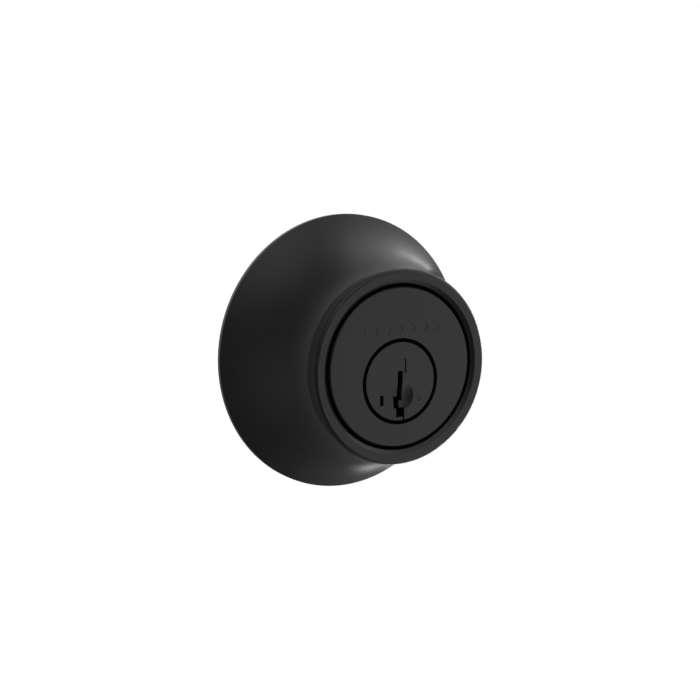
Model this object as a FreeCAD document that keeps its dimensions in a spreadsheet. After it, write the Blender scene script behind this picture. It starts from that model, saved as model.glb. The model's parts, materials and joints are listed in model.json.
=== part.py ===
import FreeCAD, Part
import math
import os
import re

import Sketcher
from FreeCAD import Placement, Rotation, Vector

# Single-cylinder deadbolt: keyed outside unit, tubular bolt unit and inside thumb-turn.
# Frame: the origin is on the drive axis at the door's outer face. -Y is outside, +Y is inside,
# +Z is up and the bolt throws towards +X. All sizes are in millimetres.
# Names that end in low or high are Z positions, left or right are X positions; depths and
# fronts or backs of the outside unit are distances in front of the door, so they are used with
# a minus sign.

SIZES = {
    # door preparation
    "door_thickness": 44.45,
    "bore_radius": 27.0,
    "backset": 60.3,
    "bolt_axis": 22.225,
    # clearances: running parts, fitted parts, and how far a cutting tool overshoots
    "play": 0.05,
    "over": 1.0,
    # outside housing, a turned flare whose axis is above the drive axis
    "housing_rise": 3.3,
    "base_radius": 33.0,
    "base_edge": 1.0,
    "flare_arc": 32.0,
    "neck_radius": 21.8,
    "neck_depth": 22.8,
    "lip_radius": 22.8,
    "lip_depth": 27.0,
    "lip_arc": 1.1,
    "front_depth": 27.9,
    "front_radius": 22.0,
    "mouth_wall": 19.4,
    "mouth_bevel": 0.9,
    "mouth_depth": 0.7,
    "ledge_depth": 21.6,
    "ledge_thick": 2.0,
    "ledge_radius": 16.2,
    "wall": 2.0,
    "back_recess": 31.0,
    "back_shoulder": 1.2,
    "back_step": 2.3,
    # cylinder body and its face disc
    "face_radius": 18.6,
    "face_depth": 27.5,
    "face_bevel": 0.25,
    "barrel_radius": 12.6,
    "ring_radius": 10.05,
    "ring_depth": 3.0,
    "barrel_back": 5.0,
    "collar_end": 2.05,
    "collar_radius": 10.8,
    "cam_front": 23.9,
    "cam_back": 6.6,
    "cam_shift": 0.85,
    # engraved row on the face
    "mark_pitch": 3.3,
    "mark_width": 0.8,
    "mark_height": 1.1,
    "mark_depth": 0.1,
    "mark_rise": 8.9,
    # plug
    "plug_radius": 9.1,
    "plug_back": 4.9,
    "neck_plug": 7.0,
    "neck_end": 3.4,
    "keyway_end": 7.0,
    "dish_sphere": 11.0,
    "dish_depth": 0.45,
    "dish_right": 0.45,
    "dish_high": -3.45,
    "clip_front": 4.75,
    "clip_back": 3.95,
    "clip_radius": 10.2,
    "clip_bore": 6.2,
    "clip_gap": 3.4,
    "pin_hole": 0.55,
    "drill_right": 5.0,
    "drill_high": -4.5,
    "drill_length": 4.9,
    "tab_half": 4.0,
    "tab_thick": 0.95,
    # pins and their springs
    "pin_pitch": 3.3,
    "first_pin": 22.6,
    "pin_radius": 1.2,
    "pin_low": 1.3,
    "pin_high": 5.4,
    "pin_tip": 0.4,
    "tip_height": 0.8,
    "chamber_low": 1.0,
    "chamber_high": 9.6,
    "groove_low": 3.0,
    "groove_high": 3.8,
    "groove_radius": 0.85,
    "cap_low": 8.45,
    "cap_high": 9.15,
    "cap_half": 1.55,
    "cap_front": 24.0,
    "cap_back": 8.0,
    "spring_gap": 0.14,
    "spring_coil": 0.85,
    "spring_wire": 0.12,
    # wafers
    "wafer_left": -5.2,
    "wafer_right": -2.35,
    "wafer_half": 0.7,
    "wafer_low": -3.4,
    "wafer_high": 4.4,
    "tooth_half": 0.4,
    "tooth_right": -0.95,
    "tooth_low": 3.15,
    "tooth_high": 3.65,
    "notch_right": -4.65,
    "notch_low": -2.1,
    "notch_high": 0.55,
    "wafer_room": 0.08,
    # carriage and its pocket in the plug
    "carriage_travel": 1.5,
    "comb_left": -5.75,
    "comb_right": -2.4,
    "comb_front": 23.95,
    "comb_back": 8.2,
    "comb_low": -5.25,
    "comb_high": 6.0,
    "comb_room": 0.2,
    "comb_spring_left": -4.1,
    "comb_spring_high": -2.0,
    "comb_spring_rest": 2.3,
    "comb_coil": 0.8,
    "comb_wire": 0.14,
    # sidebar
    "bar_left": -9.4,
    "bar_right": -7.0,
    "bar_front": 23.4,
    "bar_back": 8.65,
    "bar_half": 1.0,
    "nose_left": -9.85,
    "nose_half": 0.5,
    "lug_right": -6.0,
    "lug_half": 0.35,
    "lug_width": 0.38,
    "lug_room": 0.12,
    "seat_left": -8.6,
    "seat_radius": 0.6,
    "seat_spring": 2.65,
    "seat_coil": 0.42,
    "seat_wire": 0.07,
    # tailpiece
    "blade_radius": 2.6,
    "blade_flat": 0.9,
    "blade_end": 55.0,
    "flange_radius": 6.0,
    "flange_back": 2.2,
    # anchor plate and guard collar
    "anchor_front": 2.0,
    "anchor_back": 0.2,
    "anchor_hole": 7.2,
    "post_radius": 3.2,
    "post_end": 8.0,
    "guard_radius": 14.6,
    "guard_front": 19.3,
    "guard_back": 4.0,
    "guard_room": 0.3,
    # hub and crank
    "hub_radius": 5.0,
    "hub_proud": 0.4,
    "crank_radius": 18.0,
    "crank_pin": 1.8,
    "crank_front": 5.4,
    "crank_back": 1.85,
    "crank_root": 3.2,
    "crank_tip": 2.2,
    "crank_shoulder": 6.0,
    "crank_pin_end": 2.4,
    "drive_room": 0.08,
    # bolt unit
    "bolt_round": 9.2,
    "bolt_half": 7.0,
    "bolt_rear": 20.4,
    "bolt_front": 60.6,
    "bolt_bevel": 1.2,
    "insert_radius": 3.0,
    "insert_length": 17.7,
    "insert_cover": 4.1,
    "rivet_radius": 1.5,
    "rivet_half": 6.6,
    "rivet_back": 4.0,
    "link_half": 1.5,
    "link_slot": 8.0,
    "fork_half": 4.6,
    "fork_low": -18.7,
    "fork_play": 0.85,
    "fork_mouth": -10.2,
    "link_low": -9.2,
    "link_high": -5.7,
    "link_neck": 7.0,
    "link_top": 5.2,
    "sleeve_outer": 12.5,
    "sleeve_inner": 9.5,
    "sleeve_rear": 20.0,
    "cheek_inner": 7.25,
    "cheek_outer": 8.75,
    "cheek_rear": -9.0,
    "cheek_half": 8.8,
    "spacer_radius": 1.1,
    "spacer_head": 1.3,
    "spacer_shank": 0.75,
    "spacer_proud": 0.6,
    "leaf_rear": -4.6,
    "leaf_front": 12.6,
    "leaf_near": 3.6,
    "leaf_far": 6.6,
    "leaf_low": 5.6,
    "leaf_thick": 0.35,
    "leaf_hook": 8.4,
    "plate_half_height": 28.575,
    "plate_half_width": 12.7,
    "plate_corner": 6.35,
    "plate_thick": 2.4,
    "backer_thick": 1.5,
    "plate_hole_half": 20.65,
    "plate_hole_radius": 2.3,
    "sink_depth": 1.6,
    "window_room": 0.3,
    # fixings
    "screw_half": 23.6,
    "screw_radius": 1.95,
    "screw_start": 1.0,
    "screw_head": 3.6,
    "head_height": 2.4,
    "recess_half": 2.0,
    "recess_width": 0.4,
    "recess_depth": 1.4,
    # inside trim
    "inner_plate_radius": 28.0,
    "inner_plate_thick": 1.6,
    "inner_plate_hole": 8.0,
    "rose_radius": 31.0,
    "rose_depth": 13.0,
    "rose_edge": 2.5,
    "rose_wall": 1.7,
    "rose_shoulder": 6.3,
    "rose_shoulder_in": 3.4,
    "rose_edge_arc": 5.5,
    "rose_arc": 50.0,
    "rose_lip": 1.0,
    "rose_lip_arc": 3.0,
    "rose_inner": 11.2,
    "rose_inner_shoulder": 27.4,
    "rose_top": 13.5,
    "rose_flat": 11.5,
    "rose_bearing": 3.0,
    "turn_radius": 7.0,
    "turn_room": 0.1,
    "turn_end": 5.4,
    "turn_groove": 0.6,
    "turn_collar": 8.6,
    "turn_neck": 6.2,
    "turn_clip": 8.8,
    "turn_clip_gap": 4.0,
    "collar_low": 0.3,
    "collar_high": 1.6,
    "collar_arc": 3.0,
    "socket_end": 0.6,
    "clip_thick": 0.8,
    "washer_radius": 9.6,
    "washer_thick": 0.4,
    "lever_half": 21.0,
    "lever_straight": 18.0,
    "lever_lap": 2.0,
    "lever_width": 4.2,
    "lever_round": 4.5,
    "lever_side": 90.0,
    "lever_start": 60.2,
    "lever_end": 73.0,
    "lever_foot": 5.6,
    "lever_top": 4.0,
    "lever_edge": 1.6,
    "lever_drop": 5.0,
    "lever_fall": 6.5,
}

PIN_COUNT = 5
MARK_COUNT = 7
WIRE_SIDES = 6
SIDES = ("", "-")
SPRING_SEATS = (0.5, 3.5)
SPRING_TURNS = 5
COMB_TURNS = 3

# Section of the keyway, top to bottom, as blocks: X from and to, Z from and to.
KEYWAY = [
    ("-0.7", "0.65", "-4.5", "2.4"),
    ("-1.8", "-0.25", "-6.25", "-3.45"),
    ("-1.1", "1.1", "-8.3", "-6.15"),
    ("0.7", "1.1", "-9.6", "-8.2"),
]
# Slot for the rekeying tool, right through to the carriage's pocket.
TOOL_SLOT = ("-5.4", "-4.5", "-5.3", "-2.9")
# Shallow lines scribed on the plug's face and how deep each is.
SCRIBES = [
    (("1.25", "1.6", "1.8", "5.2"), "0.5"),
    (("-1.0", "1.0", "4.95", "5.15"), "0.1"),
]
# Spacer rivets between the cheeks: X and Z.
SPACERS = [("-6.4", "7.4"), ("14.5", "7.7")]

doc = FreeCAD.newDocument("deadbolt")
sheet = doc.addObject("Spreadsheet::Sheet", "dims")
for row, (alias, value) in enumerate(SIZES.items(), start=1):
    sheet.set("A%d" % row, alias)
    sheet.set("B%d" % row, str(value))
    sheet.setAlias("B%d" % row, alias)
doc.recompute()
nodes = []


# ---------------------------------------------------------------- helpers

def ex(text):
    """An expression in which every size name points at its cell in the sheet."""
    return re.sub(r"[a-z][a-z_]*", lambda m: "dims." + m[0] if m[0] in SIZES else m[0], str(text))


def num(text):
    """The present value of such an expression."""
    return float(sheet.evalExpression(ex(text)))


def bind(obj, **values):
    """Bind properties to expressions; at_x, at_y and at_z are the position."""
    for name, value in values.items():
        path = "Placement.Base." + name[-1] if name.startswith("at_") else name
        obj.setExpression(path, ex(value))
    return obj


def node(obj, label):
    """Name a finished piece and list it for export."""
    obj.Label = label
    nodes.append(obj)
    return obj


def span_of(middle, half):
    """The two ends of a span that is centred on an expression."""
    return ("(%s) - (%s)" % (middle, half), "(%s) + (%s)" % (middle, half))


def box(x, y, z):
    """A block between two expressions along each axis."""
    obj = doc.addObject("Part::Box", "block")
    bind(obj, Length="(%s) - (%s)" % (x[1], x[0]), Width="(%s) - (%s)" % (y[1], y[0]),
         Height="(%s) - (%s)" % (z[1], z[0]), at_x=x[0], at_y=y[0], at_z=z[0])
    return obj


TURNS = {"x": Rotation(Vector(0, 1, 0), 90), "y": Rotation(Vector(1, 0, 0), -90), "z": Rotation()}


def along(obj, axis, start, a, b):
    """Stand a piece on an axis at start; a and b place it in the other two axes, in X, Y, Z order."""
    obj.Placement = Placement(Vector(), TURNS[axis])
    others = [n for n in "xyz" if n != axis]
    return bind(obj, **{"at_" + axis: start, "at_" + others[0]: a, "at_" + others[1]: b})


def rod(axis, radius, span, a="0", b="0"):
    """A cylinder over a span of an axis."""
    obj = doc.addObject("Part::Cylinder", "rod")
    bind(obj, Radius=radius, Height="(%s) - (%s)" % (span[1], span[0]))
    return along(obj, axis, span[0], a, b)


def taper(axis, start_radius, end_radius, start, height, a="0", b="0"):
    """A cone frustum along an axis."""
    obj = doc.addObject("Part::Cone", "taper")
    bind(obj, Radius1=start_radius, Radius2=end_radius, Height=height)
    return along(obj, axis, start, a, b)


def fuse(*shapes):
    if len(shapes) == 1:
        return shapes[0]
    obj = doc.addObject("Part::MultiFuse", "union")
    obj.Shapes = list(shapes)
    return obj


def cut(base, *tools):
    obj = doc.addObject("Part::Cut", "cut")
    obj.Base = base
    obj.Tool = fuse(*tools)
    return obj


def common(base, tool):
    obj = doc.addObject("Part::Common", "common")
    obj.Base = base
    obj.Tool = tool
    return obj


def group(*shapes):
    """Separate solids kept together in one node."""
    obj = doc.addObject("Part::Compound", "group")
    obj.Links = list(shapes)
    return obj


def ring(axis, outer, inner, span, gap=None):
    """A flat ring over a span of an axis, with an optional block cut out of it."""
    through = (span[0] + " - over", span[1] + " + over")
    tools = [rod(axis, inner, through)]
    if gap:
        tools.append(box(gap, through, ("-" + outer + " - over", "0")))
    return cut(rod(axis, outer, span), *tools)


def plane(body, role):
    return next(f for f in body.Origin.OriginFeatures if f.Role == role)


def outline(sketch, corners):
    """A closed outline. A corner is (x, y) or (x, y, radius): the side after it is then an arc
    of that radius, which bulges to the right of its chord, or to the left if it is negative."""
    points = [Vector(num(c[0]), num(c[1]), 0) for c in corners]
    arcs = {}
    for i, corner in enumerate(corners):
        start, end = points[i], points[(i + 1) % len(points)]
        if len(corner) == 2:
            sketch.addGeometry(Part.LineSegment(start, end), False)
            continue
        radius = num(corner[2])
        chord = end - start
        side = 1 if radius > 0 else -1
        to_centre = Vector(-chord.y, chord.x, 0).normalize() * side
        centre = (start + end) * 0.5 + to_centre * math.sqrt(radius ** 2 - chord.Length ** 2 / 4)
        first, last = (start, end) if side > 0 else (end, start)
        angles = [math.atan2(p.y - centre.y, p.x - centre.x) for p in (first, last)]
        if angles[1] < angles[0]:
            angles[1] += 2 * math.pi
        circle = Part.Circle(centre, Vector(0, 0, 1), abs(radius))
        sketch.addGeometry(Part.ArcOfCircle(circle, *angles), False)
        arcs[i] = side < 0
        ref = sketch.addConstraint(Sketcher.Constraint("Radius", i, abs(radius)))
        sketch.setExpression("Constraints[%d]" % ref, ex("abs(%s)" % corner[2]))
    for i in range(len(corners)):
        after = (i + 1) % len(corners)
        end_of = 1 if arcs.get(i) else 2
        start_of = 2 if arcs.get(after) else 1
        sketch.addConstraint(Sketcher.Constraint("Coincident", i, end_of, after, start_of))
    for i, corner in enumerate(corners):
        start_of = 2 if arcs.get(i) else 1
        for kind, text in (("DistanceX", corner[0]), ("DistanceY", corner[1])):
            ref = sketch.addConstraint(Sketcher.Constraint(kind, -1, 1, i, start_of, num(text)))
            sketch.setExpression("Constraints[%d]" % ref, ex(text))


def turned(corners, centre_z="0"):
    """A body turned about a line along Y; corners are (radius, y) pairs."""
    body = doc.addObject("PartDesign::Body", "turned")
    sketch = body.newObject("Sketcher::SketchObject", "profile")
    sketch.AttachmentSupport = [(plane(body, "XY_Plane"), "")]
    sketch.MapMode = "FlatFace"
    outline(sketch, corners)
    revolve = body.newObject("PartDesign::Revolution", "revolve")
    revolve.Profile = sketch
    revolve.ReferenceAxis = (sketch, ["V_Axis"])
    revolve.Angle = 360
    bind(body, at_z=centre_z)
    return body


def plate(axis_plane, corners, start, thickness):
    """A flat piece: an outline on an origin plane, padded along that plane's normal from start."""
    body = doc.addObject("PartDesign::Body", "plate")
    sketch = body.newObject("Sketcher::SketchObject", "profile")
    sketch.AttachmentSupport = [(plane(body, axis_plane), "")]
    sketch.MapMode = "FlatFace"
    sketch.setExpression("AttachmentOffset.Base.z", ex(start))
    outline(sketch, corners)
    pad = body.newObject("PartDesign::Pad", "pad")
    pad.Profile = sketch
    pad.setExpression("Length", ex(thickness))
    return body


def coil(radius, wire, turns, start, length, axis="z", a="0", b="0"):
    """A compression spring along an axis, starting at start."""
    helix = doc.addObject("Part::Helix", "spine")
    bind(helix, Radius=radius, Height=length, Pitch="(%s) / %s" % (length, turns))
    section = doc.addObject("Part::RegularPolygon", "section")
    section.Polygon = WIRE_SIDES
    section.Placement = Placement(Vector(num(radius), 0, 0), Rotation(Vector(1, 0, 0), 90))
    bind(section, Circumradius=wire, at_x=radius)
    sweep = doc.addObject("Part::Sweep", "spring")
    sweep.Sections = [section]
    sweep.Spine = (helix, ["Edge1"])
    sweep.Solid = True
    sweep.Frenet = True
    return along(sweep, axis, start, a, b)


def pin_y(index):
    """Where a pin stands along the plug; fractions fall between pins."""
    return "-first_pin + %s * pin_pitch" % index


def drive_flat(span, room):
    """The tool that leaves a D-section hole for the blade, with some room round it."""
    return cut(rod("y", "blade_radius + " + room, span),
               box(("blade_flat + " + room, "blade_radius + over"), span,
                   ("-blade_radius - over", "blade_radius + over")))


# ---------------------------------------------------------------- outside unit

def exterior_housing():
    """Flared cast shell: thin base edge, concave flare, rounded lip, ledge that the face sits on."""
    node(turned([
        ("base_radius", "0"),
        ("base_radius", "-base_edge", "flare_arc"),
        ("neck_radius", "-neck_depth"),
        ("lip_radius", "-lip_depth", "-lip_arc"),
        ("front_radius", "-front_depth"),
        ("mouth_wall + mouth_bevel", "-front_depth"),
        ("mouth_wall", "-front_depth + mouth_depth"),
        ("mouth_wall", "-ledge_depth"),
        ("ledge_radius", "-ledge_depth"),
        ("ledge_radius", "-ledge_depth + ledge_thick"),
        ("neck_radius - wall", "-ledge_depth + ledge_thick", "-(flare_arc - wall)"),
        ("back_recess - back_shoulder", "-back_step"),
        ("back_recess", "-back_step"),
        ("back_recess", "0"),
    ], "housing_rise"), "exterior_housing")


def cylinder_body():
    """Face disc and barrel; the bore has a side groove that cams the sidebar home."""
    disc = turned([
        ("0", "-ledge_depth"),
        ("face_radius", "-ledge_depth"),
        ("face_radius", "-face_depth + face_bevel"),
        ("face_radius - face_bevel", "-face_depth"),
        ("0", "-face_depth"),
    ], "housing_rise")
    barrel = rod("y", "barrel_radius", ("-ledge_depth - over / 2", "-collar_end"))
    tools = [
        rod("y", "plug_radius + play", ("-face_depth - over", "-barrel_back")),
        rod("y", "ring_radius", ("-face_depth - over", "-face_depth + ring_depth")),
        rod("y", "collar_radius", ("-barrel_back", "over")),
        rod("y", "plug_radius + play", ("-cam_front", "-cam_back"), a="-cam_shift"),
    ]
    node(cut(fuse(disc, barrel), *tools, *face_marks()), "cylinder_body")


def face_marks():
    """A row of plain engraved lozenges above the plug."""
    corners = [("-mark_width", "0"), ("0", "-mark_height"), ("mark_width", "0"), ("0", "mark_height")]
    marks = []
    for i in range(MARK_COUNT):
        lozenge = plate("XZ_Plane", corners, "face_depth - mark_depth", "over")
        place = i - (MARK_COUNT - 1) / 2
        marks.append(bind(lozenge, at_x="%s * mark_pitch" % place, at_z="housing_rise + mark_rise"))
    return marks


def face_cut(block, depth):
    """A cut into the plug's face over a block given as X from and to, Z from and to."""
    return box(block[:2], ("-face_depth - over", "-face_depth + " + depth), block[2:])


def plug():
    """Keyed plug with keyway, tool slot, pin chambers, carriage pocket and sidebar slot."""
    solid = fuse(
        rod("y", "plug_radius", ("-face_depth", "-plug_back")),
        rod("y", "neck_plug", ("-plug_back - over / 2", "-neck_end")),
    )
    dish = doc.addObject("Part::Sphere", "dish")
    bind(dish, Radius="dish_sphere", at_x="dish_right", at_z="dish_high",
         at_y="-face_depth + dish_depth - dish_sphere")
    tools = [face_cut(block, "(face_depth - keyway_end)") for block in KEYWAY + [TOOL_SLOT]]
    tools += [face_cut(block, depth) for block, depth in SCRIBES]
    tools += [
        dish,
        rod("y", "pin_hole", ("-face_depth - over", "-face_depth + drill_length + 2 * play"),
            a="drill_right", b="drill_high"),
        box(("comb_left - comb_room", "comb_right + comb_room"),
            ("-comb_front - comb_room", "-comb_back + carriage_travel + over + play * 2"),
            ("comb_low - 3 * play", "comb_high + comb_room")),
        box(("bar_left - comb_room", "comb_left - 3 * play"),
            ("-bar_front - 3 * play", "-bar_back + carriage_travel + 5 * play"),
            ("-bar_half - play", "bar_half + play")),
        box(span_of("0", "cap_half + play"), ("-cap_front - play", "-cap_back + play"),
            ("cap_low - play", "chamber_high")),
        ring("y", "neck_plug + over", "clip_bore - play", ("-clip_front - play", "-clip_back + play")),
        box(span_of("0", "tab_half + 4 * play"), ("-neck_end - over - 4 * play", "0"),
            span_of("0", "tab_thick + 3 * play")),
    ]
    for i in range(PIN_COUNT):
        centre = pin_y(i)
        tools.append(rod("z", "pin_radius + play", ("chamber_low", "chamber_high"), b=centre))
        tools.append(box(("wafer_right + play", "0"),
                         (centre + " - tooth_half - 3 * play",
                          centre + " + tooth_half + carriage_travel + 3 * play"),
                         ("tooth_low - 5 * play", "tooth_high + carriage_travel + 9 * play")))
    node(cut(solid, *tools), "plug")


def plug_fittings():
    """Strip over the pin springs, hardened pin in the face and clip behind the barrel."""
    strip = box(span_of("0", "cap_half"), ("-cap_front", "-cap_back"), ("cap_low", "cap_high"))
    node(common(strip, rod("y", "plug_radius - play", ("-cap_front - over", "-cap_back + over"))),
         "spring_cap")
    node(rod("y", "pin_hole - play", ("-face_depth + play", "-face_depth + drill_length"),
             a="drill_right", b="drill_high"), "drill_pin")
    node(ring("y", "clip_radius", "clip_bore", ("-clip_front", "-clip_back"),
              gap=span_of("0", "clip_gap")), "plug_clip")


def pins_and_wafers():
    """Five sprung pins that ride on the key, each toothed to a flat wafer beside it."""
    for i in range(PIN_COUNT):
        centre = pin_y(i)
        pin = fuse(
            taper("z", "pin_tip", "pin_radius", "pin_low", "tip_height", b=centre),
            rod("z", "pin_radius", ("pin_low + tip_height", "groove_low"), b=centre),
            rod("z", "groove_radius", ("groove_low - play", "groove_high + play"), b=centre),
            rod("z", "pin_radius", ("groove_high", "pin_high"), b=centre),
        )
        node(pin, "pin_%d" % (i + 1))
        spring = coil("spring_coil", "spring_wire", SPRING_TURNS, "pin_high + spring_gap",
                      "cap_low - pin_high - 2 * spring_gap", b=centre)
        node(spring, "pin_spring_%d" % (i + 1))
        leaf = box(("wafer_left", "wafer_right"), span_of(centre, "wafer_half"),
                   ("wafer_low", "wafer_high"))
        tooth = box(("wafer_right - play", "tooth_right"), span_of(centre, "tooth_half"),
                    ("tooth_low", "tooth_high"))
        notch = box(("wafer_left - over", "notch_right"), span_of(centre, "wafer_half + over"),
                    ("notch_low", "notch_high"))
        node(cut(fuse(leaf, tooth), notch), "wafer_%d" % (i + 1))


def carriage():
    """Comb that holds the wafers, with its return spring."""
    slots = []
    for i in range(PIN_COUNT):
        centre = pin_y(i)
        slots.append(box(("wafer_left - 2 * play", "comb_right + over"),
                         span_of(centre, "wafer_half + wafer_room"),
                         ("wafer_low - comb_room", "comb_high + over")))
        slots.append(box(("comb_left - over", "wafer_left + over"),
                         span_of(centre, "lug_width + lug_room"), span_of("0", "lug_half + 3 * play")))
    comb = box(("comb_left", "comb_right"), ("-comb_front", "-comb_back"), ("comb_low", "comb_high"))
    node(cut(comb, *slots), "wafer_carriage")
    node(coil("comb_coil", "comb_wire", COMB_TURNS, "-comb_back + 3 * play", "comb_spring_rest",
              axis="y", a="comb_spring_left", b="comb_spring_high"), "carriage_spring")


def sidebar():
    """Locking bar with a tapered outer edge and a lug for each wafer, and its two springs."""
    lugs = []
    for i in range(PIN_COUNT):
        lugs.append(box(("bar_right - 2 * play", "lug_right"), span_of(pin_y(i), "lug_width"),
                        span_of("0", "lug_half")))
    nose = plate("XZ_Plane", [("bar_left", "-bar_half"), ("bar_left", "bar_half"),
                              ("nose_left", "nose_half"), ("nose_left", "-nose_half")],
                 "bar_back", "bar_front - bar_back")
    bar = box(("bar_left", "bar_right"), ("-bar_front", "-bar_back"), span_of("0", "bar_half"))
    seats = [rod("x", "seat_radius", ("seat_left", "bar_right + 2 * play"), a=pin_y(k))
             for k in SPRING_SEATS]
    node(cut(fuse(bar, nose, *lugs), *seats), "sidebar")
    springs = [coil("seat_coil", "seat_wire", SPRING_TURNS, "seat_left + 2 * play", "seat_spring",
                    axis="x", a=pin_y(k)) for k in SPRING_SEATS]
    node(group(*springs), "sidebar_springs")


def tailpiece():
    """Flange with a drive tab and a D-section blade that runs through the hub to the thumb-turn."""
    blade = cut(rod("y", "blade_radius", ("-flange_back - over / 2", "blade_end")),
                box(("blade_flat", "blade_radius + over"), ("-flange_back", "blade_end + over"),
                    span_of("0", "blade_radius + over")))
    flange = rod("y", "flange_radius", ("-neck_end + 2 * play", "-flange_back"))
    tab = box(span_of("0", "tab_half"), ("-neck_end - over", "-neck_end + 4 * play"),
              span_of("0", "tab_thick"))
    node(fuse(flange, tab, blade), "tailpiece")


def anchor_plate():
    """Steel back plate with two threaded posts that reach into the door's cross bore."""
    disc = rod("y", "bore_radius", ("-anchor_front", "-anchor_back"))
    posts = [rod("y", "post_radius", ("-anchor_front / 2", "post_end"), b=side + "screw_half")
             for side in SIDES]
    through = ("-anchor_front - over", "post_end + over")
    holes = [rod("y", "screw_radius + play", through, b=side + "screw_half") for side in SIDES]
    node(cut(fuse(disc, *posts), rod("y", "anchor_hole", ("-anchor_front - over", "over")), *holes),
         "anchor_plate")


def guard_collar():
    """Hardened ring round the barrel inside the housing."""
    node(ring("y", "guard_radius", "barrel_radius + guard_room", ("-guard_front", "-guard_back")),
         "guard_collar")


# ---------------------------------------------------------------- bolt unit

def bolt_case():
    """Round sleeve with a fixed cheek that carries one side of the hub."""
    sleeve = rod("x", "sleeve_outer", ("sleeve_rear", "backset - plate_thick - backer_thick"),
                 a="bolt_axis")
    bore = rod("x", "sleeve_inner", ("sleeve_rear - over", "backset"), a="bolt_axis")
    cheek = box(("cheek_rear", "sleeve_rear + over / 2"),
                ("bolt_axis + cheek_inner", "bolt_axis + cheek_outer"), span_of("0", "cheek_half"))
    hub_hole = rod("y", "hub_radius + play", ("bolt_axis", "door_thickness"))
    node(cut(fuse(cut(sleeve, bore), cheek), hub_hole), "bolt_case")


def case_cheek():
    """Riveted cheek that carries the other side of the hub, its spacer rivets and the detent leaf."""
    outer, inner = "bolt_axis - cheek_outer", "bolt_axis - cheek_inner"
    cheek = box(("cheek_rear", "sleeve_rear - play"), (outer, inner), span_of("0", "cheek_half"))
    holes = [rod("y", "spacer_shank + play", ("0", "bolt_axis"), a=x, b=z) for x, z in SPACERS]
    hub_hole = rod("y", "hub_radius + play", ("0", "bolt_axis"))
    node(cut(cheek, hub_hole, *holes), "case_cheek")
    rivets = []
    for x, z in SPACERS:
        rivets.append(fuse(
            rod("y", "spacer_shank", (outer + " - spacer_proud / 2", inner + " + over / 2"), a=x, b=z),
            rod("y", "spacer_head", (outer + " - spacer_proud", outer), a=x, b=z),
            rod("y", "spacer_radius", (inner, "bolt_axis + cheek_inner"), a=x, b=z),
        ))
    node(group(*rivets), "case_rivets")
    leaf_y = ("bolt_axis + leaf_near", "bolt_axis + leaf_far")
    leaf = box(("leaf_rear", "leaf_front"), leaf_y, ("leaf_low", "leaf_low + leaf_thick"))
    hook = box(("leaf_front - leaf_thick", "leaf_front"), leaf_y, ("leaf_low", "leaf_hook"))
    node(fuse(leaf, hook), "detent_leaf")


def plate_outline():
    """A rounded rectangle in the YZ plane, centred on the bolt's axis."""
    low, high = span_of("bolt_axis", "plate_half_width")
    low_in, high_in = low + " + plate_corner", high + " - plate_corner"
    tall, tall_in = "plate_half_height", "plate_half_height - plate_corner"
    return [
        (low_in, "-" + tall), (high_in, "-" + tall, "plate_corner"),
        (high, "-(%s)" % tall_in), (high, tall_in, "plate_corner"),
        (high_in, tall), (low_in, tall, "plate_corner"),
        (low, tall_in), (low, "-(%s)" % tall_in, "plate_corner"),
    ]


def bolt_section(radius, half, x):
    """A round bar with two flat sides, over a span of X on the bolt's axis."""
    return common(rod("x", radius, x, a="bolt_axis"),
                  box(x, span_of("bolt_axis", half), span_of("0", "sleeve_outer")))


def faceplates():
    """Visible faceplate and the backing plate behind it."""
    front = "backset - plate_thick"
    for label, start, thick in (("faceplate", front, "plate_thick"),
                                ("backing_plate", front + " - backer_thick", "backer_thick")):
        body = plate("YZ_Plane", plate_outline(), start, thick)
        through = (start + " - over", "backset + over")
        tools = [bolt_section("bolt_round + window_room", "bolt_half + window_room", through)]
        for side in SIDES:
            tools.append(rod("x", "plate_hole_radius", through, a="bolt_axis",
                             b=side + "plate_hole_half"))
            if label == "faceplate":
                tools.append(taper("x", "plate_hole_radius", "plate_hole_radius + sink_depth",
                                   "backset - sink_depth + play", "sink_depth", a="bolt_axis",
                                   b=side + "plate_hole_half"))
        node(cut(body, *tools), label)


def bolt():
    """Solid bolt with a chamfered nose, a slot for the link, a hardened insert and a rivet."""
    bar = bolt_section("bolt_round", "bolt_half", ("bolt_rear", "bolt_front - bolt_bevel"))
    nose = common(taper("x", "bolt_round", "bolt_round - bolt_bevel", "bolt_front - bolt_bevel",
                        "bolt_bevel", a="bolt_axis"),
                  box(("bolt_front - bolt_bevel", "bolt_front"), span_of("bolt_axis", "bolt_half"),
                      span_of("0", "bolt_round")))
    slot = box(("bolt_rear - over", "bolt_rear + link_slot"), span_of("bolt_axis", "link_half + 2 * play"),
               span_of("0", "bolt_round + over"))
    rivet_x = "bolt_rear + rivet_back"
    node(cut(fuse(bar, nose), slot,
             rod("y", "rivet_radius + play", ("0", "door_thickness"), a=rivet_x),
             rod("x", "insert_radius + play", ("bolt_rear + link_slot - over",
                                               "bolt_front - insert_cover + 2 * play"), a="bolt_axis")),
         "bolt_head")
    node(rod("x", "insert_radius", ("bolt_front - insert_cover - insert_length",
                                    "bolt_front - insert_cover"), a="bolt_axis"), "bolt_insert")
    node(rod("y", "rivet_radius", span_of("bolt_axis", "rivet_half"), a=rivet_x), "link_rivet")


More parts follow.
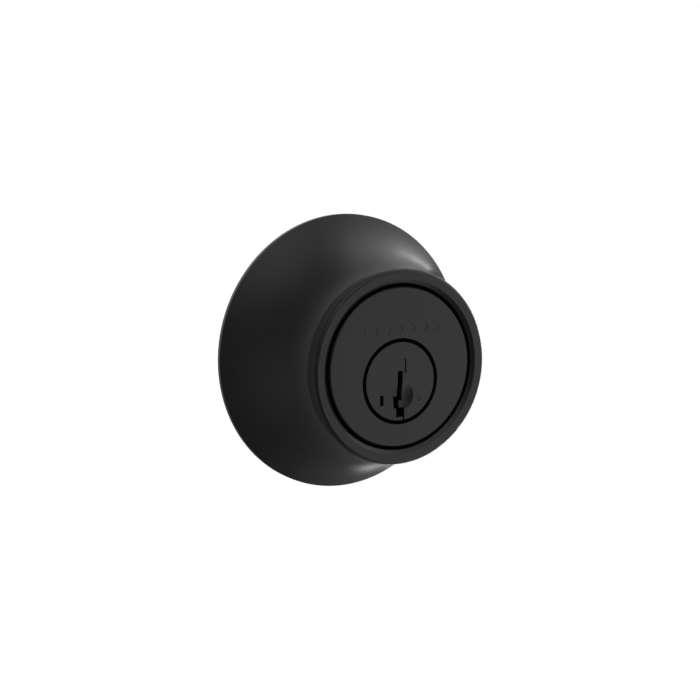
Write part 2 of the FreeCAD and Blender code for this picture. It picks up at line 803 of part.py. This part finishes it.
def bolt_link():
    """Flat tail of the bolt: a bar under the hub and a fork that the crank's pin works in."""
    y = span_of("bolt_axis", "link_half")
    rest = "-crank_radius * sin(45 deg)"
    fork = box(span_of(rest, "fork_half"), y, ("fork_low", "-crank_shoulder"))
    slot = box(span_of(rest, "crank_pin + fork_play"), span_of("bolt_axis", "link_half + over"),
               ("fork_low - over", "fork_mouth"))
    bar = box((rest + " - fork_half", "link_neck + over"), y, ("link_low", "link_high"))
    head = box(("link_neck", "bolt_rear + link_slot - 4 * play"), y,
               ("link_low + 4 * play", "link_top"))
    rivet = rod("y", "rivet_radius + play", ("0", "door_thickness"), a="bolt_rear + rivet_back")
    node(cut(fuse(fork, bar, head), slot, rivet), "bolt_link")


def hub():
    """Hub with a D-shaped drive hole and a crank whose pin works in the link's fork."""
    barrel = rod("y", "hub_radius", span_of("bolt_axis", "cheek_outer + hub_proud"))
    root, tip = "crank_root", "crank_tip"
    arm = plate("XZ_Plane", [
        ("-" + root, "0"), ("-" + root, "-crank_shoulder"), ("-" + tip, "-crank_radius"),
        (tip, "-crank_radius"), (root, "-crank_shoulder"), (root, "0"),
    ], "-bolt_axis + crank_back", "crank_front - crank_back")
    arm_end = rod("y", tip, ("bolt_axis - crank_front", "bolt_axis - crank_back"), b="-crank_radius")
    pin = rod("y", "crank_pin", ("bolt_axis - crank_front", "bolt_axis + crank_pin_end"),
              b="-crank_radius")
    crank = fuse(arm, arm_end, pin)
    crank.Placement = Placement(Vector(), Rotation(Vector(0, 1, 0), 45))
    node(cut(fuse(barrel, crank), drive_flat(("0", "door_thickness"), "drive_room")), "hub")


# ---------------------------------------------------------------- inside unit

def mounting_plate():
    """Steel plate that the through-screws clamp against the door."""
    span = ("door_thickness", "door_thickness + inner_plate_thick")
    through = ("door_thickness - over", "door_thickness + inner_plate_thick + over")
    holes = [rod("y", "screw_radius + 5 * play", through, b=side + "screw_half") for side in SIDES]
    node(cut(ring("y", "inner_plate_radius", "inner_plate_hole", span), *holes), "mounting_plate")


def mounting_screws():
    """Two machine screws with cross recesses, grouped in one node."""
    seat = "door_thickness + inner_plate_thick"
    top = seat + " + head_height"
    slot_y = (top + " - recess_depth", top + " + over")
    screws = []
    for side in SIDES:
        z = side + "screw_half"
        shank = rod("y", "screw_radius", ("screw_start", seat + " + 2 * play"), b=z)
        head = rod("y", "screw_head", (seat, top), b=z)
        recess = [box(span_of("0", across), slot_y, span_of(z, along_z))
                  for across, along_z in (("recess_half", "recess_width"), ("recess_width", "recess_half"))]
        screws.append(cut(fuse(shank, head), *recess))
    node(group(*screws), "mounting_screws")


def interior_rose():
    """Flared inside cover with a bearing hole for the thumb-turn."""
    face = "door_thickness"
    top = face + " + rose_depth"
    bearing = "turn_radius + turn_room"
    node(turned([
        ("rose_radius", face),
        ("rose_radius", face + " + rose_edge", "rose_edge_arc"),
        ("rose_radius - rose_shoulder_in", face + " + rose_shoulder", "-rose_arc"),
        ("rose_top", top + " - rose_lip", "rose_lip_arc"),
        ("rose_flat", top),
        (bearing, top),
        (bearing, top + " - rose_bearing"),
        ("rose_inner", top + " - rose_bearing"),
        ("rose_inner_shoulder", face + " + rose_shoulder - rose_wall"),
        ("rose_radius - rose_wall", face + " + rose_edge - 2 * play"),
        ("rose_radius - rose_wall", face),
    ]), "interior_rose")


def lever():
    """The oval grip: the part shared by its front, end and side outlines."""
    front = plate("XZ_Plane", [
        ("-lever_width", "-lever_straight", "lever_round"),
        ("lever_width", "-lever_straight", "lever_side"),
        ("lever_width", "lever_straight", "lever_round"),
        ("-lever_width", "lever_straight", "lever_side"),
    ], "-lever_end", "lever_end - lever_start")
    end_view = plate("XY_Plane", [
        ("-lever_foot", "lever_start"),
        ("lever_foot", "lever_start"),
        ("lever_top", "lever_end - lever_edge", "lever_edge"),
        ("lever_top - lever_edge", "lever_end"),
        ("-lever_top + lever_edge", "lever_end", "lever_edge"),
        ("-lever_top", "lever_end - lever_edge"),
    ], "-lever_half - over", "2 * (lever_half + over)")
    side_view = plate("YZ_Plane", [
        ("lever_start", "-lever_half"),
        ("lever_end - lever_drop", "-lever_half", "lever_fall"),
        ("lever_end", "-lever_half + lever_drop"),
        ("lever_end", "lever_half - lever_drop", "lever_fall"),
        ("lever_end - lever_drop", "lever_half"),
        ("lever_start", "lever_half"),
    ], "-lever_foot - over", "2 * (lever_foot + over)")
    return common(common(front, end_view), side_view)


def thumbturn():
    """Turned shaft and an oval lever with a D-shaped socket for the blade."""
    top = "door_thickness + rose_depth"
    end = top + " - turn_end"
    groove = end + " + clip_thick"
    past_groove = groove + " + clip_thick + 2 * play"
    shaft = turned([
        ("0", end),
        ("turn_radius", end),
        ("turn_radius", groove),
        ("turn_radius - turn_groove", groove),
        ("turn_radius - turn_groove", past_groove),
        ("turn_radius", past_groove),
        ("turn_radius", top + " + collar_low"),
        ("turn_collar", top + " + collar_low"),
        ("turn_collar", top + " + collar_high", "collar_arc"),
        ("turn_neck", "lever_start + lever_lap"),
        ("0", "lever_start + lever_lap"),
    ])
    socket = drive_flat(("door_thickness", "blade_end + socket_end"), "turn_room")
    node(cut(fuse(shaft, lever()), socket), "thumbturn")
    clip_start = groove + " + play"
    node(ring("y", "turn_clip", "turn_radius - turn_groove + play",
              (clip_start, clip_start + " + clip_thick"), gap=span_of("0", "turn_clip_gap")),
         "thumbturn_clip")
    washer_end = top + " - rose_bearing - 2 * play"
    node(ring("y", "washer_radius", "turn_radius + 2 * turn_room",
              (washer_end + " - washer_thick", washer_end)), "friction_washer")


exterior_housing()
cylinder_body()
plug()
plug_fittings()
pins_and_wafers()
carriage()
sidebar()
tailpiece()
anchor_plate()
guard_collar()
bolt_case()
case_cheek()
faceplates()
bolt()
bolt_link()
hub()
mounting_plate()
mounting_screws()
interior_rose()
thumbturn()

doc.recompute()
for item in doc.Objects:
    if "Invalid" in item.State or "Error" in item.State:
        raise RuntimeError("%s (%s) failed: %s" % (item.Name, item.Label, item.State))
os.makedirs("parts", exist_ok=True)
for item in nodes:
    shape = item.Shape
    if shape.isNull() or not shape.isValid() or not shape.Solids:
        raise RuntimeError(item.Label + " has no valid solid")
    shape.exportStep("parts/%s.step" % item.Label)
    limits = shape.BoundBox
    print("%-18s solids %d volume %9.2f  x %6.1f %6.1f  y %6.1f %6.1f  z %6.1f %6.1f" % (
        item.Label, len(shape.Solids), shape.Volume, limits.XMin, limits.XMax, limits.YMin,
        limits.YMax, limits.ZMin, limits.ZMax))
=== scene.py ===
import json
import math

import bmesh
import bpy
from mathutils import Matrix, Vector

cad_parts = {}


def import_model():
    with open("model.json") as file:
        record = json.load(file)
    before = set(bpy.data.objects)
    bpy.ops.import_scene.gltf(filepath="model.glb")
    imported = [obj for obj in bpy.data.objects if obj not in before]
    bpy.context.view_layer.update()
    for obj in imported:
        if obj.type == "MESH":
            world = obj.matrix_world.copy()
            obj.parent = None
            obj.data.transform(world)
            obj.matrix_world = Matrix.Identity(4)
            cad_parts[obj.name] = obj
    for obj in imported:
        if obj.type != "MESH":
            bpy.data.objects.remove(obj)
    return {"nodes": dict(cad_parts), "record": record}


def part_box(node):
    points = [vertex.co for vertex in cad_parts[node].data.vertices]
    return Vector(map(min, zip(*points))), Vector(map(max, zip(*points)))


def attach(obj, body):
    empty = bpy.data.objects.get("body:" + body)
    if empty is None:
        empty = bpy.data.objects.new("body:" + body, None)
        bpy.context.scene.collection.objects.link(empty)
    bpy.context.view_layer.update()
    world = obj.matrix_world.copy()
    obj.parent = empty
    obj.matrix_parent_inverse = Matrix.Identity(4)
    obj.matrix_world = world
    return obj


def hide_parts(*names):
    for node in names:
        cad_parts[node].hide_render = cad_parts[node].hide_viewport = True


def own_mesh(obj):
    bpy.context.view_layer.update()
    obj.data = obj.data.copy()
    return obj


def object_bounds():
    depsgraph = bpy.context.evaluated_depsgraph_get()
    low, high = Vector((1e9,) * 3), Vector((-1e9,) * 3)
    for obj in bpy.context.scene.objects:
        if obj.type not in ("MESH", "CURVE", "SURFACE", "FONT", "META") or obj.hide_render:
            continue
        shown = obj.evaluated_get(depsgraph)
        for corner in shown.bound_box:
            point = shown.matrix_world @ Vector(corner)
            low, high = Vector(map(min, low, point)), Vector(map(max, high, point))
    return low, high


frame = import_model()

CAD_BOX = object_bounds()
MM = 0.001
WHITE = (1, 1, 1, 1)

# Camera: the photograph's viewing angles in degrees, its lens and sensor width in mm, its distance
# from the middle of the cover's base edge, and how far it stands to the right and up from there.
VIEW_AZIMUTH = -30.3
VIEW_ELEVATION = 9.32
VIEW_LENS = 108.53
VIEW_SENSOR = 36
VIEW_DISTANCE = 507.7 * MM
VIEW_RIGHT = 2.06 * MM
VIEW_UP = 0.18 * MM
VIEW_CLIP = 10 * MM
BASE_EDGE = -0.5 * MM

# White strips behind the cover, seen as one white wall from the main camera and from the front
# left. Each runs forward from a point (x, SLAT_BACK) at SLAT_TURN from the Y axis: (x, length). They
# lean a little to the left as they rise, so that straight from the front and from above only their
# clear side shows.
SLAT_TURN = math.radians(10)
SLAT_LEAN = 0.12
SLAT_BACK = 9.3 * MM
SLAT_BOTTOM, SLAT_TOP = -28 * MM, 34.5 * MM
SLATS = [(34.4 * MM, 9.2 * MM), (38.1 * MM, 9.2 * MM), (41.8 * MM, 9.2 * MM),
         (45.1 * MM, 18 * MM), (52 * MM, 18 * MM), (58.8 * MM, 18 * MM)]

# The white card left of the slats, and how far the floor lies below the lock and reaches from it.
CARD_PLANE = 0.25 * MM
CARD_LEFT, CARD_RIGHT = -95 * MM, -2 * MM
CARD_BOTTOM, CARD_TOP = -50 * MM, 65 * MM
FLOOR_DROP = 90 * MM
FLOOR_REACH = 3

# Coil springs by the start of their node's name: wire radius and number of turns.
SPRING_WIRES = {
    "pin_spring": (0.12 * MM, 5),
    "carriage_spring": (0.14 * MM, 3),
    "sidebar_springs": (0.07 * MM, 5),
}
COIL_STEPS = 28
WIRE_SIDES = 10

# Black finish: its gloss and tone, the noise that mottles it, its fine grain, and the clear coat.
BLACK_ROUGHNESS = 0.28
BLACK_TONE = 0.011
MOTTLE_SCALE = 160
GRAIN_SCALE = 5200
GRAIN_HEIGHT = 0.03 * MM
COAT = 0.5
COAT_ROUGHNESS = 0.12
# The gaps round the face and the plug are matt, with a painted shade that darkens them: within this
# radius of the cover's axis, from this far behind the face, with this painted shade tone, this much
# more roughness, and no clear coat.
RECESS_RADIUS = 19.6 * MM
RECESS_START = 0.6 * MM
GAP_PAINTED_SHADE_TONE = 0.002
RECESS_ROUGHNESS = 0.6
# Bare metals: the cloud that moves their tone, how far their gloss varies, and their grain's height.
CLOUD_SCALE = 150
METAL_SPREAD = 0.08
BRUSH_HEIGHT = 0.04 * MM

# Studio: brightness of the room, and its soft lamps as name: (azimuth, elevation, half-width,
# strength), the angles in degrees from the object towards the lamp.
ROOM = 0.04
LAMPS = {
    "side_strip_high": (114, -3, 4, 10.0),
    "streak_near": (118, 9, 3, 2.0),
    "streak_middle": (121, 15, 3, 1.3),
    "streak_far": (121, 22, 4, 0.6),
    "side_strip_low": (118, -32, 4, 7.0),
    "low_kicker": (128, -42, 4, 1.6),
    "side_box": (117, 22, 14, 0.6),
    "side_top_box": (118, 54, 18, 0.5),
    "face_box": (34, -9, 9, 0.42),
    "low_front_box": (30, -36, 14, 0.5),
    "right_fill": (66, 22, 30, 0.6),
    "top_fill": (-30, 60, 30, 0.5),
    "bottom_fill": (70, -50, 30, 0.3),
    "left_fill": (-100, -20, 40, 0.17),
    "back_box": (185, 12, 24, 0.8),
}


# ---------------------------------------------------------------- camera, as the photograph stands

def direction(azimuth, elevation):
    """The unit vector from the object towards a viewer at that azimuth and elevation."""
    a, e = math.radians(azimuth), math.radians(elevation)
    return Vector((math.sin(a) * math.cos(e), -math.cos(a) * math.cos(e), math.sin(e)))


def main_camera():
    housing = [Vector(c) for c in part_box("exterior_housing")]
    middle = (housing[0] + housing[1]) / 2
    base = Vector((middle.x, BASE_EDGE, middle.z))
    back = direction(VIEW_AZIMUTH, VIEW_ELEVATION)
    turn = math.radians(VIEW_AZIMUTH)
    right = Vector((math.cos(turn), math.sin(turn), 0))
    up = back.cross(right)
    data = bpy.data.cameras.new("camera")
    data.lens = VIEW_LENS
    data.sensor_width = VIEW_SENSOR
    data.clip_start = VIEW_CLIP
    cam = bpy.data.objects.new("camera", data)
    bpy.context.collection.objects.link(cam)
    facing = Matrix((right, up, back)).transposed().to_4x4()
    place = base + back * VIEW_DISTANCE + right * VIEW_RIGHT + up * VIEW_UP
    cam.matrix_world = Matrix.Translation(place) @ facing
    bpy.context.scene.camera = cam


# ---------------------------------------------------------------- node helpers

def new_material(name):
    """A material with its node tree and its Principled shader."""
    mat = bpy.data.materials.new(name)
    mat.use_nodes = True
    tree = mat.node_tree
    shader = tree.nodes["Principled BSDF"]
    return mat, tree, shader


def node(tree, kind, inputs=None, **props):
    """A new node with its settings; each input takes a value or the socket that feeds it."""
    item = tree.nodes.new(kind)
    for key, value in props.items():
        setattr(item, key, value)
    for key, value in (inputs or {}).items():
        if isinstance(value, bpy.types.NodeSocket):
            tree.links.new(value, item.inputs[key])
        else:
            item.inputs[key].default_value = value
    return item


def ramp(tree, source, stops):
    """A colour ramp over a 0 to 1 source; its two stops are (place, grey or colour)."""
    item = node(tree, "ShaderNodeValToRGB", {"Fac": source})
    for element, (place, colour) in zip(item.color_ramp.elements, stops):
        element.position = place
        tone = (colour,) * 3 if isinstance(colour, float) else colour
        element.color = (*tone, 1)
    return item.outputs["Color"]


# ---------------------------------------------------------------- materials

def gap_painted_shade_mask(tree, coords):
    """1 in the gaps round the face and the plug, where a near-black painted shade goes, and 0
    elsewhere.
    """
    low, high = (Vector(c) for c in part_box("exterior_housing"))
    axis = Vector(((low.x + high.x) / 2, 0, (low.z + high.z) / 2))
    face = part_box("cylinder_body")[0][1]
    offset = node(tree, "ShaderNodeVectorMath", {0: coords, 1: axis}, operation="SUBTRACT")
    flat = node(tree, "ShaderNodeVectorMath", {0: offset.outputs["Vector"], 1: (1, 0, 1)},
                operation="MULTIPLY")
    radius = node(tree, "ShaderNodeVectorMath", {0: flat.outputs["Vector"]}, operation="LENGTH")
    depth = node(tree, "ShaderNodeSeparateXYZ", {0: coords}).outputs["Y"]
    inside = node(tree, "ShaderNodeMath", {0: radius.outputs["Value"], 1: RECESS_RADIUS},
                  operation="LESS_THAN")
    deep = node(tree, "ShaderNodeMath", {0: depth, 1: face + RECESS_START}, operation="GREATER_THAN")
    return node(tree, "ShaderNodeMath", {0: inside.outputs[0], 1: deep.outputs[0]},
                operation="MULTIPLY").outputs[0]


def satin_black(name, roughness=BLACK_ROUGHNESS, tone=BLACK_TONE, painted_gap_shade=False):
    """Black coating on cast zinc, with a very fine grain and faint mottling of tone and gloss."""
    mat, tree, shader = new_material(name)
    coords = node(tree, "ShaderNodeTexCoord").outputs["Object"]
    grain = node(tree, "ShaderNodeTexNoise", {"Vector": coords, "Scale": GRAIN_SCALE, "Detail": 3})
    mottle = node(tree, "ShaderNodeTexNoise", {"Vector": coords, "Scale": MOTTLE_SCALE, "Detail": 4})
    colour = ramp(tree, mottle.outputs["Fac"], [(0.3, tone * 0.85), (0.7, tone * 1.2)])
    spread = node(tree, "ShaderNodeMapRange", {"Value": mottle.outputs["Fac"],
                                               "To Min": roughness - 0.03,
                                               "To Max": roughness + 0.04}).outputs["Result"]
    shader.inputs["Coat Weight"].default_value = COAT
    if painted_gap_shade:
        # Painted shade in the gaps: near-black tone, with more roughness and no clear coat.
        mask = gap_painted_shade_mask(tree, coords)
        painted_shade_colour = (GAP_PAINTED_SHADE_TONE, GAP_PAINTED_SHADE_TONE, GAP_PAINTED_SHADE_TONE, 1)
        mix = node(tree, "ShaderNodeMix", {0: mask, 6: colour, 7: painted_shade_colour}, data_type="RGBA")
        colour = mix.outputs[2]
        spread = node(tree, "ShaderNodeMath", {0: mask, 1: RECESS_ROUGHNESS, 2: spread},
                      operation="MULTIPLY_ADD").outputs[0]
        coat = node(tree, "ShaderNodeMath", {0: mask, 1: -COAT, 2: COAT}, operation="MULTIPLY_ADD")
        tree.links.new(coat.outputs[0], shader.inputs["Coat Weight"])
    tree.links.new(colour, shader.inputs["Base Color"])
    tree.links.new(spread, shader.inputs["Roughness"])
    bump = node(tree, "ShaderNodeBump", {"Height": grain.outputs["Fac"], "Strength": 0.12,
                                         "Distance": GRAIN_HEIGHT})
    tree.links.new(bump.outputs["Normal"], shader.inputs["Normal"])
    shader.inputs["Coat Roughness"].default_value = COAT_ROUGHNESS
    return mat


def metal(name, dark, light, roughness, scale, stretch, strength):
    """Bare metal: a soft cloud moves the tone from dark to light, and a stretched noise makes
    the brushing or grain in both gloss and bump."""
    mat, tree, shader = new_material(name)
    coords = node(tree, "ShaderNodeTexCoord").outputs["Object"]
    place = node(tree, "ShaderNodeMapping", {"Vector": coords, "Scale": stretch}).outputs["Vector"]
    streaks = node(tree, "ShaderNodeTexNoise", {"Vector": place, "Scale": scale, "Detail": 6})
    cloud = node(tree, "ShaderNodeTexNoise", {"Vector": coords, "Scale": CLOUD_SCALE, "Detail": 5})
    both = node(tree, "ShaderNodeMath", {0: streaks.outputs["Fac"], 1: 0.45, 2: cloud.outputs["Fac"]},
                operation="MULTIPLY_ADD")
    colour = ramp(tree, both.outputs[0], [(0.45, dark), (0.95, light)])
    tree.links.new(colour, shader.inputs["Base Color"])
    spread = node(tree, "ShaderNodeMapRange", {"Value": streaks.outputs["Fac"],
                                               "To Min": roughness - METAL_SPREAD,
                                               "To Max": roughness + METAL_SPREAD})
    tree.links.new(spread.outputs["Result"], shader.inputs["Roughness"])
    bump = node(tree, "ShaderNodeBump", {"Height": streaks.outputs["Fac"], "Strength": strength,
                                         "Distance": BRUSH_HEIGHT})
    tree.links.new(bump.outputs["Normal"], shader.inputs["Normal"])
    shader.inputs["Metallic"].default_value = 1.0
    return mat


def apply_materials():
    """Give each CAD part the finish of its slot; return the finishes by name."""
    even = (1, 1, 1)
    finishes = {
        "satin_black": satin_black("satin_black"),
        "zinc_plated_steel": metal("zinc_plated_steel", (0.47, 0.49, 0.54), (0.60, 0.60, 0.58), 0.33,
                                   1100, even, 0.10),
        "brass": metal("machined_brass", (0.62, 0.41, 0.15), (0.78, 0.56, 0.25), 0.28,
                       2600, (0.15, 1, 1), 0.12),
        "satin_nickel": metal("satin_nickel", (0.55, 0.52, 0.47), (0.66, 0.63, 0.58), 0.32,
                              3200, (1, 1, 0.02), 0.22),
        "spring_steel": metal("spring_steel", (0.34, 0.35, 0.37), (0.46, 0.46, 0.47), 0.28,
                              1500, even, 0.08),
        "hardened_steel": metal("hardened_steel", (0.10, 0.10, 0.11), (0.17, 0.17, 0.18), 0.36,
                                1200, even, 0.10),
    }
    for entry in frame["record"]["subparts"]:
        obj = frame["nodes"][entry["node"]]
        obj.data.materials.clear()
        obj.data.materials.append(finishes[entry["material_slot"]])
    # The cover, the cylinder's face and the plug: black with painted shade in their gaps.
    face_black_shade_painted = satin_black("face_black_shade_painted", painted_gap_shade=True)
    for name in ("exterior_housing", "cylinder_body", "plug"):
        frame["nodes"][name].data.materials[0] = face_black_shade_painted
    pin_black = satin_black("blackened_pin", roughness=0.4, tone=0.006)
    frame["nodes"]["drill_pin"].data.materials[0] = pin_black
    return finishes


# ---------------------------------------------------------------- springs

def coil_line(centre, axis, low, high, radius, wire, turns):
    """Points along a compression spring's wire; its first and last turns lie closed."""
    across = [k for k in range(3) if k != axis]
    closed = 2 * wire
    rise = (high - low - 2 * wire - 2 * closed) / (turns - 2)
    points = []
    for i in range(turns * COIL_STEPS + 1):
        turn = i / COIL_STEPS
        height = closed * min(turn, 1) + rise * min(max(turn - 1, 0), turns - 2)
        height += closed * max(turn - turns + 1, 0)
        point = Vector(centre)
        point[axis] = low + wire + height
        point[across[0]] += radius * math.cos(2 * math.pi * turn)
        point[across[1]] += radius * math.sin(2 * math.pi * turn)
        points.append(point)
    return points


def add_wire(mesh, line, centre, axis, wire):
    """Add a round wire along a line of points to a bmesh, closed at both ends."""
    rings = []
    for i, point in enumerate(line):
        run = line[min(i + 1, len(line) - 1)] - line[max(i - 1, 0)]
        out = point - Vector(centre)
        out[axis] = 0
        out.normalize()
        side = run.cross(out).normalized()
        angles = [2 * math.pi * k / WIRE_SIDES for k in range(WIRE_SIDES)]
        rings.append([mesh.verts.new(point + (out * math.cos(a) + side * math.sin(a)) * wire)
                      for a in angles])
    for near, far in zip(rings, rings[1:]):
        for k in range(WIRE_SIDES):
            after = (k + 1) % WIRE_SIDES
            mesh.faces.new((near[k], near[after], far[after], far[k]))
    mesh.faces.new(reversed(rings[0]))
    mesh.faces.new(rings[-1])


def spring(entry, finish):
    """A round-wire spring in place of a CAD spring, parented to its body's empty."""
    name = entry["node"]
    wire, turns = next(v for k, v in SPRING_WIRES.items() if name.startswith(k))
    axis = "xyz".index(entry["mode"][-1])
    low, high = (Vector(c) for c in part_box(name))
    across = sorted((k for k in range(3) if k != axis), key=lambda k: high[k] - low[k])
    outer = (high[across[0]] - low[across[0]]) / 2
    wide = across[1]
    starts = {round(v, 6) for v in (low[wide] + outer, high[wide] - outer)}
    mesh = bmesh.new()
    for place in sorted(starts):
        centre = (low + high) / 2
        centre[wide] = place
        line = coil_line(centre, axis, low[axis], high[axis], outer - wire, wire, turns)
        add_wire(mesh, line, centre, axis, wire)
    bmesh.ops.recalc_face_normals(mesh, faces=mesh.faces)
    data = bpy.data.meshes.new(name + "_coil")
    mesh.to_mesh(data)
    mesh.free()
    data.polygons.foreach_set("use_smooth", [True] * len(data.polygons))
    data.materials.append(finish)
    obj = bpy.data.objects.new(name + "_coil", data)
    bpy.context.collection.objects.link(obj)
    fixed = entry["fixed_end_%s_m" % "xyz"[axis]]
    anchor = (low + high) / 2
    anchor[axis] = fixed
    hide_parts(name)
    bodies = frame["record"]["behaviour"]["bodies"]
    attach(obj, next(body for body, members in bodies.items() if name in members))
    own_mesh(obj)


def springs(finish):
    for joint in frame["record"]["behaviour"]["joints"]:
        for entry in joint.get("deforming_nodes", []):
            spring(entry, finish)


# ---------------------------------------------------------------- stage and light

def one_sided_white(name):
    """White to the camera from its front, clear from behind, and nothing to any other ray."""
    mat = bpy.data.materials.new(name)
    mat.use_nodes = True
    tree = mat.node_tree
    tree.nodes.clear()
    facing = node(tree, "ShaderNodeNewGeometry").outputs["Backfacing"]
    white = node(tree, "ShaderNodeEmission", {"Color": WHITE, "Strength": 1.0})
    clear = node(tree, "ShaderNodeBsdfTransparent")
    mix = node(tree, "ShaderNodeMixShader", {0: facing, 1: white.outputs[0], 2: clear.outputs[0]})
    node(tree, "ShaderNodeOutputMaterial", {"Surface": mix.outputs[0]})
    return mat


def card(name, corners, mat):
    """A flat stage piece with these corners."""
    mesh = bpy.data.meshes.new(name)
    mesh.from_pydata([Vector(c) for c in corners], [], [tuple(range(len(corners)))])
    mesh.materials.append(mat)
    obj = bpy.data.objects.new(name, mesh)
    bpy.context.collection.objects.link(obj)
    return obj


def camera_only(obj):
    """Leave a stage piece out of the light, the reflections and the shadows."""
    obj.visible_diffuse = False
    obj.visible_glossy = False
    obj.visible_transmission = False
    obj.visible_shadow = False
    obj.visible_volume_scatter = False


def door_cards():
    """White cards in place of the door: they hide from the main view what the door would hide."""
    mat = one_sided_white("door_white")
    left = [(CARD_LEFT, CARD_PLANE, CARD_BOTTOM), (CARD_RIGHT, CARD_PLANE, CARD_BOTTOM),
            (CARD_RIGHT, CARD_PLANE, CARD_TOP), (CARD_LEFT, CARD_PLANE, CARD_TOP)]
    camera_only(card("door_card_left", left, mat))
    forward = Vector((-math.sin(SLAT_TURN), -math.cos(SLAT_TURN), 0))
    half_rise = Vector((-SLAT_LEAN, 0, 1)) * (SLAT_TOP - SLAT_BOTTOM) / 2
    for i, (x, length) in enumerate(SLATS):
        back = Vector((x, SLAT_BACK, (SLAT_TOP + SLAT_BOTTOM) / 2))
        front = back + forward * length
        corners = [front - half_rise, front + half_rise, back + half_rise, back - half_rise]
        camera_only(card("door_slat_%d" % i, corners, mat))


def floor():
    """A white floor, seen by the camera alone, as the photograph shows no ground shadow."""
    mat = bpy.data.materials.new("floor_white")
    mat.use_nodes = True
    tree = mat.node_tree
    tree.nodes.clear()
    white = node(tree, "ShaderNodeEmission", {"Color": WHITE, "Strength": 1.0})
    node(tree, "ShaderNodeOutputMaterial", {"Surface": white.outputs[0]})
    z = CAD_BOX[0][2] - FLOOR_DROP
    corners = [(-FLOOR_REACH, -FLOOR_REACH, z), (FLOOR_REACH, -FLOOR_REACH, z),
               (FLOOR_REACH, FLOOR_REACH, z), (-FLOOR_REACH, FLOOR_REACH, z)]
    camera_only(card("floor", corners, mat))


def world():
    """A white backdrop for the camera; for everything else a dim room with soft lamps in it."""
    scene_world = bpy.data.worlds.new("studio")
    bpy.context.scene.world = scene_world
    scene_world.use_nodes = True
    tree = scene_world.node_tree
    tree.nodes.clear()
    towards = node(tree, "ShaderNodeTexCoord").outputs["Generated"]
    total = ROOM
    for azimuth, elevation, half_width, strength in LAMPS.values():
        sharpness = math.log(2) / (1 - math.cos(math.radians(half_width)))
        facing = node(tree, "ShaderNodeVectorMath", {0: towards, 1: direction(azimuth, elevation)},
                      operation="DOT_PRODUCT").outputs["Value"]
        fall = node(tree, "ShaderNodeMath", {0: facing, 1: sharpness, 2: -sharpness},
                    operation="MULTIPLY_ADD").outputs[0]
        glow = node(tree, "ShaderNodeMath", {0: fall}, operation="EXPONENT").outputs[0]
        total = node(tree, "ShaderNodeMath", {0: glow, 1: strength, 2: total},
                     operation="MULTIPLY_ADD").outputs[0]
    seen = node(tree, "ShaderNodeLightPath").outputs["Is Camera Ray"]
    room = node(tree, "ShaderNodeBackground", {"Color": WHITE, "Strength": total})
    white = node(tree, "ShaderNodeBackground", {"Color": WHITE, "Strength": 1.0})
    mix = node(tree, "ShaderNodeMixShader", {0: seen, 1: room.outputs[0], 2: white.outputs[0]})
    node(tree, "ShaderNodeOutputWorld", {"Surface": mix.outputs[0]})


main_camera()
finishes = apply_materials()
springs(finishes["spring_steel"])
door_cards()
floor()
world()
bpy.context.scene.view_settings.view_transform = "Standard"
